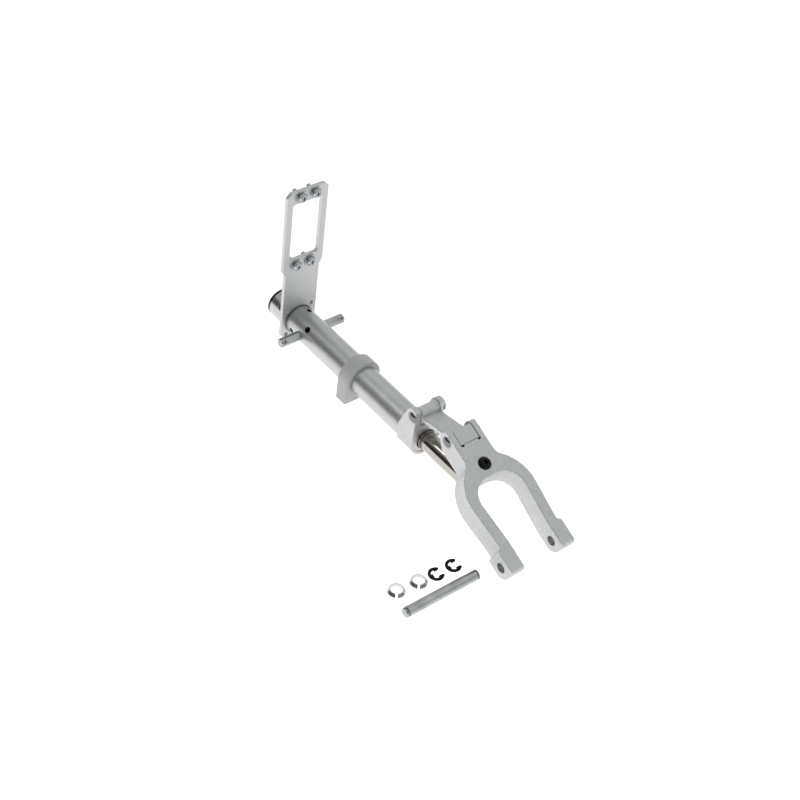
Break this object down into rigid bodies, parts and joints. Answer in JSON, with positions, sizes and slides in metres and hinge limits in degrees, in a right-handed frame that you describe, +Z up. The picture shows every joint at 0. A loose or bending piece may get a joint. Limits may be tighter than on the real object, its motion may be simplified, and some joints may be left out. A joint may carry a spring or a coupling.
{
  "type": "landing gear strut",
  "caption": "Trailing-link landing gear strut: leg tube on trunnion pins, upright servo plate, sprung steerable rod, link and wheel fork, with loose axle hardware.",
  "frame": {"origin": "where the trunnion pins' axis crosses the leg tube's axis", "axes": "+X along the leg tube towards the wheel fork, +Y along the trunnion pins, +Z up along the servo plate, as the strut lies on the ground"},
  "size_m": [0.2479, 0.1071, 0.1114],
  "materials": {
    "satin_tube": "satin anodised, drawn lengthwise",
    "blasted_alloy": "bead blasted and clear anodised",
    "polished_alloy": "turned and polished",
    "gland_alloy": "turned, light hard anodised",
    "chromed_rod": "ground and plated",
    "polished_steel": "polished domed heads",
    "turned_steel": "turned",
    "plated_steel": "zinc plated",
    "black_steel": "black oxide",
    "black_cap": "black anodised",
    "bush_bronze": "sintered bronze",
    "wiper_rubber": "matt nitrile rubber",
    "spring_steel": "drawn wire"
  },
  "bodies": {
    "leg": {"outer_tube": "satin_tube", "servo_plate": "blasted_alloy", "plate_retaining_ring": "turned_steel", "servo_screws": "plated_steel", "servo_washers": "plated_steel", "trunnion_sleeve": "blasted_alloy", "trunnion_pins": "turned_steel", "sleeve_set_screws": "black_steel", "trunnion_lock_screw": "black_steel", "rear_bush": "bush_bronze", "front_bush": "bush_bronze", "saddle_collar": "blasted_alloy", "saddle_set_screw": "black_steel", "thrust_washer": "bush_bronze", "wheel_axle": "turned_steel", "wheel_collars": "polished_alloy", "axle_clips": "black_steel"},
    "steering": {"inner_cylinder": "satin_tube", "link_bracket": "blasted_alloy", "bracket_set_screw": "black_steel", "rod_gland": "gland_alloy", "rod_wiper": "wiper_rubber", "steering_spindle": "turned_steel", "spindle_pin": "turned_steel", "steering_collar": "polished_alloy", "collar_set_screw": "black_steel", "collar_cap": "black_cap", "upper_link_pin": "polished_steel", "upper_pin_clip": "plated_steel", "return_spring": "spring_steel"},
    "piston": {"piston_rod": "chromed_rod", "piston_head": "bush_bronze", "piston_circlip": "black_steel", "rod_pivot_pin": "turned_steel"},
    "link": {"link_arm": "blasted_alloy"},
    "fork": {"wheel_fork": "blasted_alloy", "pivot_block": "blasted_alloy", "fork_screw": "black_steel", "lower_link_pin": "polished_steel", "lower_pin_clip": "plated_steel"}
  },
  "joints": [
    {"name": "steering_swivel", "type": "hinge", "parent": "leg", "child": "steering", "pos_m": [0.06, 0, 0], "axis": [1, 0, 0], "range_deg": [-25, 25]},
    {"name": "rod_slide", "type": "slide", "parent": "steering", "child": "piston", "axis": [-1, 0, 0], "range_m": [0, 0.01], "stiffness_N_per_m": 4000, "springref_m": -0.004, "deforming": ["return_spring"]},
    {"name": "link_swing", "type": "hinge", "parent": "steering", "child": "link", "pos_m": [0.1092, 0, 0.0196], "axis": [0, 1, 0], "range_deg": [-5.7, 0]},
    {"name": "fork_swing", "type": "hinge", "parent": "piston", "child": "fork", "pos_m": [0.15079, 0, 0], "axis": [0, 1, 0], "range_deg": [0, 20.65]}
  ],
  "couplings": [
    {"joint": "link_swing", "follows": "rod_slide", "rad_per_m": -9.948},
    {"joint": "fork_swing", "follows": "rod_slide", "rad_per_m": 36.041}
  ]
}
